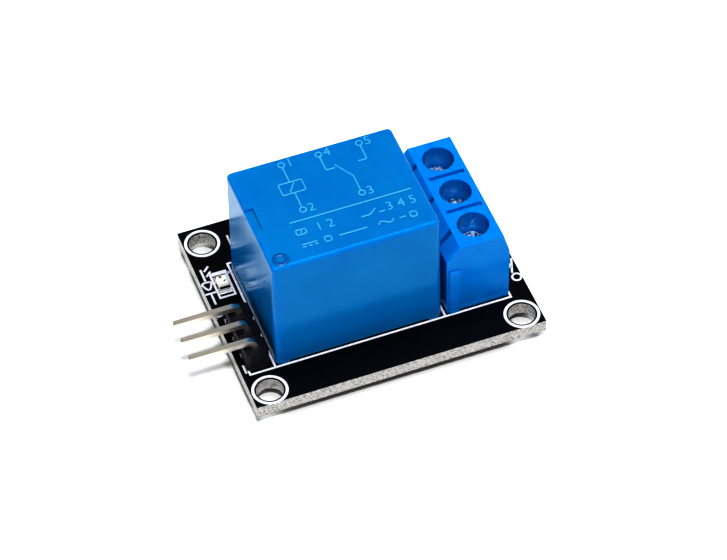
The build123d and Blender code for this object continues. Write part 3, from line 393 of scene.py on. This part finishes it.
lamp_sign = level(
    sign_z,
    [(lamp_x, 7.5), (lamp_x, 5.6)],
    [(lamp_x - 0.65, 5.55), (lamp_x + 0.65, 5.55), (lamp_x, 4.1), (lamp_x - 0.65, 5.55)],
    [(lamp_x - 0.65, 3.9), (lamp_x + 0.65, 3.9)],
    [(lamp_x, 3.75), (lamp_x, 2.2)],
    [(lamp_x + 0.3, 6.3), (lamp_x + 0.95, 6.9)],
    [(lamp_x + 0.3, 7.1), (lamp_x + 0.95, 7.7)],
)
one_sign = level(sign_z, [(-16.5, 0.45), (-15.45, 0.45), (-15.75, 0.9)], [(-16.5, 0.05), (-16.5, 0.85)])
minus_sign = level(sign_z, [(-15.97, -8.1), (-15.97, -6.9)])
contact_sign = level(sign_z, ring(15.9, -6.0, 0.5), [(15.65, -5.3), (16.35, -3.3)],
                     [(15.8, -3.3), (15.8, -4.6)])
lamp_dot = level(sign_z, ring(-13.15, 6.1, 0.1, 8))
sign_paths = lamp_sign + one_sign + minus_sign + contact_sign + lamp_dot
signs = grown("sign_lines", chains("sign_paths", sign_paths), flat_lines,
              Width=sign_line, Thickness=sign_ink, Material=white_ink)
digits = [figures(f"pole_digit_{number}", str(number), pole_digit_height, (pole_x, pole[1], sign_z), 90,
                  sign_ink, white_ink) for number, pole in ((2, pole_2), (3, pole_3))]
board_signs = join("board_signs", [signs] + digits)
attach(board_signs, "board")


# The relay's case: a thin moulded box of glossy blue plastic with a small draft. Its sides
# mirror the board, and its top carries a plain wiring key in pale ink: the coil between
# leads 1 and 2, the changeover contact between leads 3, 4 and 5, and what each is fed with.
case_tones = ((0.0, 0.164, 0.400), (0.0, 0.180, 0.420))
case_low, case_high = [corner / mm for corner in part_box("relay_case")]


def blue_plastic(name, tones, roughness, grain, shine, glow, glow_depth):
    """A blue moulding that light enters a little way, the blue of it furthest, so its shaded
    faces stay blue."""
    material = surface(name, tones, roughness, grain, depth=0.01 * mm, shine=shine)
    shader = material.node_tree.nodes["Principled BSDF"]
    shader.inputs["Specular Tint"].default_value = (0.0, 0.55, 1.0, 1)
    shader.inputs["Subsurface Weight"].default_value = glow
    shader.inputs["Subsurface Radius"].default_value = (0.05, 0.35, 1.0)
    shader.inputs["Subsurface Scale"].default_value = glow_depth
    return material


blue_case = blue_plastic("blue_relay_plastic", case_tones, roughness=0.17, grain=6 * mm,
                         shine=0.42, glow=0.6, glow_depth=2.5 * mm)
dress(blue_case, "relay_case")

# The wiring key on the case: pale ink, pad-printed in thin lines. The boxes stand a hair
# above the leads that meet them, so that no two printed faces lie in one plane.
case_ink_tones = ((0.060, 0.34, 0.62), (0.040, 0.27, 0.56))
key_line = 0.18 * mm
key_ink = 0.02 * mm
key_z = case_high.z - 0.005
key_lift = 0.004
key_digit_height = 1.15
key_dot = 0.35
key_beside = 0.95
coil_x, contact_left, contact_mid, contact_right = -6.6, -2.4, 0.0, 2.2
key_top, key_mid, key_low = 5.6, 2.2, -1.2
name_row, feed_row = -4.05, -5.95
key_square = 0.35


def rectangle(x, y, half_width, half_height):
    """A closed rectangle of points round its middle."""
    corners = [(-half_width, -half_height), (half_width, -half_height),
               (half_width, half_height), (-half_width, half_height)]
    return [(x + across, y + along) for across, along in corners + corners[:1]]


key_boxes = level(
    key_z + key_lift,
    *[ring(coil_x, y, key_dot) for y in (key_top, key_low)],
    rectangle(coil_x, key_mid, 1.3, 0.8),
    *[ring(x, key_top, key_dot) for x in (contact_left, contact_right)],
    ring(contact_mid, key_low, key_dot),
    rectangle(-7.85, name_row, 0.55, key_square),
    *[rectangle(x, feed_row, key_square, key_square) for x in (-5.55, 3.95)],
)
key_leads = level(
    key_z,
    [(coil_x, key_top - key_dot), (coil_x, key_mid + 0.8)],
    [(coil_x, key_mid - 0.8), (coil_x, key_low + key_dot)],
    [(coil_x - 0.42, key_mid - 0.6), (coil_x + 0.42, key_mid + 0.6)],
    *[[(x, key_top - key_dot), (x, key_mid + 1.0), (x + inward, key_mid + 1.0)]
      for x, inward in ((contact_left, 1.0), (contact_right, -1.0))],
    [(contact_mid, key_low + key_dot), (contact_mid, key_mid - 0.8), (contact_mid - 1.3, key_mid + 1.4)],
    [(-8.6, -2.5), (5.0, -2.5)],
    [(-8.0, name_row - 0.17), (-7.7, name_row + 0.17)],
    [(-1.3, name_row - 0.35), (-0.3, name_row - 0.35), (0.5, name_row + 0.3)],
    [(0.7, name_row - 0.35), (1.4, name_row - 0.35)],
    [(-8.4, feed_row + 0.15), (-6.7, feed_row + 0.15)],
    *[[(x, feed_row - 0.2), (x + 0.4, feed_row - 0.2)] for x in (-8.4, -7.75, -7.1)],
    [(0.0, feed_row - 0.15), (0.3, feed_row + 0.2), (0.6, feed_row + 0.2),
     (1.2, feed_row - 0.2), (1.5, feed_row - 0.2), (1.8, feed_row + 0.15)],
    [(-4.3, feed_row), (-1.2, feed_row)],
    [(2.4, feed_row), (3.1, feed_row)],
)
pale_ink = surface("pale_blue_ink", case_ink_tones, roughness=0.45, grain=0.25 * mm, depth=0.004 * mm)
key_lines = grown("key_lines", chains("key_paths", key_boxes + key_leads), flat_lines,
                  Width=key_line, Thickness=key_ink, Material=pale_ink)
key_places = {
    "1": (coil_x + key_beside, key_top), "2": (coil_x + key_beside, key_low),
    "3": (contact_mid + key_beside, key_low), "4": (contact_left + key_beside, key_top),
    "5": (contact_right + key_beside, key_top), "1 2": (-5.2, name_row), "3 4 5": (3.3, name_row),
}
key_digits = [figures(f"key_{text.replace(' ', '_')}", text, key_digit_height, (*place, key_z), 0,
                      key_ink, pale_ink) for text, place in key_places.items()]
wiring_key = join("wiring_key", [key_lines] + key_digits)
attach(wiring_key, "board")

# The mark that the mould leaves near one corner of the case, a round pin's shallow edge, carries painted
# shade: a flat ring of darker blue laid on the case top stands for the shade in its groove.
mark_x, mark_y = case_low.x + 1.5, case_low.y + 1.35
mark_radius = 0.66
mark_line = 0.42 * mm
mark_height = 0.005 * mm
groove_shade_tones = ((0.0, 0.095, 0.29), (0.0, 0.105, 0.31))
# painted shade: the dark blue of the ring stands for the shade in the mark's groove
groove_shade_paint = surface("painted_groove_shade", groove_shade_tones, roughness=0.35, grain=0.4 * mm, depth=0.004 * mm)
mark_paths = level(case_high.z, ring(mark_x, mark_y, mark_radius, 32))
mould_mark = grown("mould_mark", chains("mark_paths", mark_paths), flat_lines,
                   Width=mark_line, Thickness=mark_height, Material=groove_shade_paint)
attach(mould_mark, "board")


# Inside the relay: a plain iron yoke, core and armature, a black moulded base and bobbin,
# a winding of fine enamelled wire, bronze springs, brass strips and silver contacts. Grey
# resin seals the case from below, round the leads.
iron = surface("nickelled_iron", ((0.55, 0.55, 0.54), (0.45, 0.45, 0.45)),
               roughness=0.32, grain=0.8 * mm, depth=0.004 * mm, metallic=1.0)
dress(iron, "yoke", "coil_core", "armature")
moulding = surface("black_moulding", ((0.020, 0.020, 0.023), (0.032, 0.032, 0.036)),
                   roughness=0.5, grain=0.4 * mm, depth=0.006 * mm)
dress(moulding, "relay_base", "coil_bobbin")
resin = surface("grey_resin", ((0.05, 0.06, 0.08), (0.035, 0.045, 0.065)),
                roughness=0.3, grain=1.2 * mm, depth=0.02 * mm)
dress(resin, "relay_seal")
bronze = surface("spring_bronze", ((0.62, 0.36, 0.16), (0.52, 0.30, 0.14)),
                 roughness=0.28, grain=0.9 * mm, depth=0.002 * mm, metallic=1.0)
dress(bronze, "return_leaf", "contact_spring")
brass = surface("strip_brass", ((0.70, 0.52, 0.24), (0.60, 0.44, 0.20)),
                roughness=0.3, grain=0.8 * mm, depth=0.003 * mm, metallic=1.0)
dress(brass, "common_strip", "open_strip", "closed_strip")
silver = surface("contact_silver", ((0.82, 0.81, 0.79), (0.70, 0.69, 0.66)),
                 roughness=0.25, grain=0.3 * mm, depth=0.003 * mm, metallic=1.0)
dress(silver, "open_contact", "closed_contact", "moving_contact")
tinned = surface("tinned_wire", ((0.66, 0.66, 0.65), (0.52, 0.52, 0.52)),
                 roughness=0.3, grain=0.3 * mm, depth=0.004 * mm, metallic=1.0)
dress(tinned, "coil_pin_1", "coil_pin_2")

# The winding: enamelled copper wire laid side by side, so that each turn shows as a fine
# rib. The wave pattern repeats 3.2 times to a unit of its scale.
wire_pitch = 0.12 * mm
waves_to_scale = 3.2
winding = surface("enamelled_copper", ((0.42, 0.13, 0.04), (0.52, 0.17, 0.06)),
                  roughness=0.3, grain=0.6 * mm, depth=0.01 * mm, metallic=1.0)
turns = winding.node_tree.nodes.new("ShaderNodeTexWave")
turns.wave_type = "BANDS"
turns.bands_direction = "Z"
turns.inputs["Scale"].default_value = 1 / wire_pitch / waves_to_scale
turns_place = winding.node_tree.nodes.new("ShaderNodeTexCoord")
winding.node_tree.links.new(turns_place.outputs["Object"], turns.inputs["Vector"])
winding.node_tree.links.new(turns.outputs["Fac"], winding.node_tree.nodes["relief"].inputs["Height"])
dress(winding, "coil_winding")


# The screw terminal: one moulding of the same blue, a little more matt. Its plated screws turn in their
# wells and raise plated cages, which press the wires against tinned brass bars. The screws' heads carry
# painted glints: white specks on a dark blue that is a painted reflection of the wells.
block_tones = ((0.0, 0.195, 0.52), (0.0, 0.215, 0.55))
steel_tones = ((0.94, 0.94, 0.92), (0.70, 0.70, 0.70))
head_glint_tones = ((1.0, 1.0, 1.0), (0.10, 0.17, 0.30))
brass_tones = ((0.66, 0.64, 0.58), (0.54, 0.51, 0.44))
blue_block = blue_plastic("blue_block_plastic", block_tones, roughness=0.2, grain=1.5 * mm,
                          shine=0.35, glow=0.5, glow_depth=0.8 * mm)
dress(blue_block, "terminal_housing")
plated = surface("plated_steel", steel_tones,
                 roughness=0.36, grain=0.35 * mm, depth=0.004 * mm, metallic=1.0)
dress(plated, *[f"clamp_cage_{k}" for k in (1, 2, 3)])
# painted glints and painted reflection: the heads' colour parts hard into white specks and a dark blue
# like the wells' walls mirrored
head_glint_paint = surface("screw_heads_painted_glints", head_glint_tones, roughness=0.38, grain=0.3 * mm, depth=0.012 * mm,
                     metallic=1.0, detail=1, edges=(0.46, 0.56))
dress(head_glint_paint, *[f"terminal_screw_{k}" for k in (1, 2, 3)])
bar_brass = surface("tinned_brass", brass_tones,
                    roughness=0.34, grain=0.5 * mm, depth=0.003 * mm, metallic=1.0)
dress(bar_brass, *[f"terminal_bar_{k}" for k in (1, 2, 3)])

# The screws' thread: a ridge that winds round the shank, one turn to each half millimetre.
# It is rolled into the steel and plated with the screw.
thread_pitch = 0.5
thread_steps = 24
screw_radius = 1.25
tip_length = 0.25
head_length = 1.25
ridge = [(-0.05, -0.12), (0.05, -0.03), (0.05, 0.03), (-0.05, 0.12)]


def outline(name, points):
    """A closed outline of edges that swept pieces take as their profile."""
    mesh = bpy.data.meshes.new(name)
    edges = [(k, (k + 1) % len(points)) for k in range(len(points))]
    mesh.from_pydata([(x * mm, y * mm, 0) for x, y in points], edges, [])
    profile = bpy.data.objects.new(name, mesh)
    bpy.context.scene.collection.objects.link(profile)
    return profile


def swept_tree():
    """A node tree that draws a closed profile along each chain of edges."""
    tree, given, result = new_tree("swept", Profile="Object", Material="Material")
    nodes, links = tree.nodes, tree.links
    chain = nodes.new("GeometryNodeMeshToCurve")
    shape = nodes.new("GeometryNodeObjectInfo")
    section = nodes.new("GeometryNodeMeshToCurve")
    links.new(given.outputs["Geometry"], chain.inputs["Mesh"])
    links.new(given.outputs["Profile"], shape.inputs["Object"])
    links.new(shape.outputs["Geometry"], section.inputs["Mesh"])
    draw_along(tree, given, result, chain.outputs["Curve"], section.outputs["Curve"])
    return tree


def outward(piece):
    """Turns the faces of a closed mesh outwards."""
    shell = bmesh.new()
    shell.from_mesh(piece.data)
    bmesh.ops.recalc_face_normals(shell, faces=shell.faces)
    shell.to_mesh(piece.data)
    shell.free()


swept = swept_tree()
ridge_profile = outline("ridge_profile", ridge)
for number in (1, 2, 3):
    screw_low, screw_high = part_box(f"terminal_screw_{number}")
    axis = middle(f"terminal_screw_{number}")
    shank_low, shank_high = screw_low.z / mm + tip_length, screw_high.z / mm - head_length
    count = int((shank_high - shank_low) / thread_pitch * thread_steps)
    helix = []
    for turn in [step / thread_steps for step in range(count)]:
        x, y = axis.x + screw_radius * cos(2 * pi * turn), axis.y + screw_radius * sin(2 * pi * turn)
        helix.append((x, y, shank_low + thread_pitch * turn))
    thread = grown(f"thread_{number}", chains("helix", [helix]), swept,
                   Profile=ridge_profile, Material=plated)
    outward(thread)
    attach(thread, f"screw_{number}")
bpy.data.objects.remove(ridge_profile)


# The pin header: three square pins pressed through black plastic and bent level above it.
# The pins are plated brass, cut to a point at both ends.
header_tones = ((0.0070, 0.0055, 0.0110), (0.0140, 0.0115, 0.0190))
pin_tones = ((0.95, 0.88, 0.78), (0.80, 0.74, 0.65))
header_black = surface("header_plastic", header_tones,
                       roughness=0.5, grain=0.5 * mm, depth=0.006 * mm, shine=0.3)
dress(header_black, "header_body")
pin_plate = surface("plated_pins", pin_tones,
                    roughness=0.3, grain=0.7 * mm, depth=0.003 * mm, metallic=1.0, stretch=(0.3, 1, 1))
dress(pin_plate, *[f"header_pin_{k}" for k in (1, 2, 3)])


# The indicator: a white ceramic base with a clear resin lens moulded on it. Through the lens
# show the die, a small dark dot, and the short strip that its bond wire lands on.
lens_middle = middle("led_lens")
die_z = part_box("led_lens")[1].z / mm - 0.01
die_radius = 0.09
die_line = 0.16 * mm
die_height = 0.02 * mm
led_base = surface("white_ceramic", ((0.80, 0.79, 0.76), (0.70, 0.68, 0.62)),
                   roughness=0.45, grain=0.3 * mm, depth=0.006 * mm)
dress(led_base, "led_base")
led_lens = surface("clear_resin", ((0.86, 0.85, 0.80), (0.78, 0.76, 0.68)),
                   roughness=0.12, grain=0.4 * mm, depth=0.004 * mm)
dress(led_lens, "led_lens")
die_shade = surface("die_shade", ((0.20, 0.16, 0.12), (0.14, 0.11, 0.09)),
                    roughness=0.4, grain=0.2 * mm, depth=0.002 * mm)
die_paths = level(
    die_z,
    ring(lens_middle.x - 0.15, lens_middle.y + 0.35, die_radius, 8),
    [(lens_middle.x + 0.05, lens_middle.y - 0.35), (lens_middle.x + 0.3, lens_middle.y - 0.15)],
)
led_die = grown("led_die", chains("die_paths", die_paths), flat_lines,
                Width=die_line, Thickness=die_height, Material=die_shade)
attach(led_die, "board")


# The row behind the relay that drives its coil: a transistor, a diode and two resistors.
# Their bodies are black moulded plastic, and the legs are tinned.
chip_black = surface("chip_black", ((0.016, 0.016, 0.018), (0.028, 0.028, 0.03)),
                     roughness=0.42, grain=0.25 * mm, depth=0.006 * mm)
dress(chip_black, "resistor_1", "resistor_2", "transistor_body", "diode_body")
leg_metal = surface("tinned_legs", ((0.84, 0.84, 0.82), (0.70, 0.70, 0.68)),
                    roughness=0.4, grain=0.2 * mm, depth=0.003 * mm, metallic=1.0)
dress(leg_metal, "transistor_leads", "diode_leads")

# The chips' ends: a tinned cap wraps each end of the two resistors and the indicator, and
# stands on its land in a fillet of solder that runs out in a hollow curve.
cap_length = 0.36
cap_skin = 0.012
foot_lift = 0.004
fillet_length = 0.34
fillet_height = 0.36
cap_tin = surface("tinned_caps", ((0.86, 0.86, 0.84), (0.72, 0.72, 0.71)),
                  roughness=0.45, grain=0.2 * mm, depth=0.004 * mm, metallic=1.0)
fillet_tin = surface("fillet_solder", ((0.86, 0.86, 0.86), (0.72, 0.72, 0.73)),
                     roughness=0.36, grain=0.4 * mm, depth=0.01 * mm, metallic=1.0)


def block(name, low, high, material):
    """A box between two corners, in millimetres."""
    centre = Matrix.Translation((Vector(high) + Vector(low)) / 2 * mm)
    shell = bmesh.new()
    bmesh.ops.create_cube(shell, size=1)
    shell.transform(centre @ Matrix.Diagonal((*((Vector(high) - Vector(low)) * mm), 1)))
    mesh = bpy.data.meshes.new(name)
    shell.to_mesh(mesh)
    shell.free()
    mesh.materials.append(material)
    piece = bpy.data.objects.new(name, mesh)
    bpy.context.scene.collection.objects.link(piece)
    return piece


caps, feet = [], []
for name, along, cap_top in (("resistor_1", 0, cap_skin), ("resistor_2", 0, cap_skin), ("led_base", 1, 0)):
    across = 1 - along
    low, high = [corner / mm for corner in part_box(name)]
    for end, outwards in ((low[along], -1), (high[along], 1)):
        near, far = [0, 0, low.z], [0, 0, high.z + cap_top]
        near[along], far[along] = sorted((end + outwards * cap_skin, end - outwards * cap_length))
        near[across], far[across] = low[across] - cap_skin, high[across] + cap_skin
        caps.append(block(f"{name}_cap", near, far, cap_tin))
        foot = [[0, 0, low.z + foot_lift], [0, 0, low.z + foot_lift]]
        for corner, reach in zip(foot, (near[across], far[across])):
            corner[along], corner[across] = end + outwards * cap_skin, reach
        if (outwards > 0) != (along == 0):
            foot.reverse()
        feet.append([tuple(corner) for corner in foot])
chip_caps = join("chip_caps", caps)
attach(chip_caps, "board")

hollow = [(0, 0), (fillet_length, 0), (0.45 * fillet_length, 0.16 * fillet_height),
          (0.16 * fillet_length, 0.45 * fillet_height), (0, fillet_height)]
hollow_profile = outline("hollow_profile", hollow)
chip_fillets = grown("chip_fillets", chains("chip_feet", feet), swept,
                     Profile=hollow_profile, Material=fillet_tin)
outward(chip_fillets)
bpy.data.objects.remove(hollow_profile)
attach(chip_fillets, "board")


# Solder and bare tinned copper: the joints stand as cones round the cropped leads, bright
# where the tin set quickly and a little frosted elsewhere.
solder = surface("solder", ((0.74, 0.74, 0.74), (0.58, 0.58, 0.59)),
                 roughness=0.26, grain=0.6 * mm, depth=0.02 * mm, metallic=1.0)
dress(solder, "relay_solder", "terminal_solder", "header_solder")
tinned_copper = surface("tinned_copper", ((0.80, 0.79, 0.75), (0.68, 0.66, 0.61)),
                        roughness=0.4, grain=0.4 * mm, depth=0.008 * mm, metallic=1.0)
dress(tinned_copper, "top_pads", "bottom_pads")
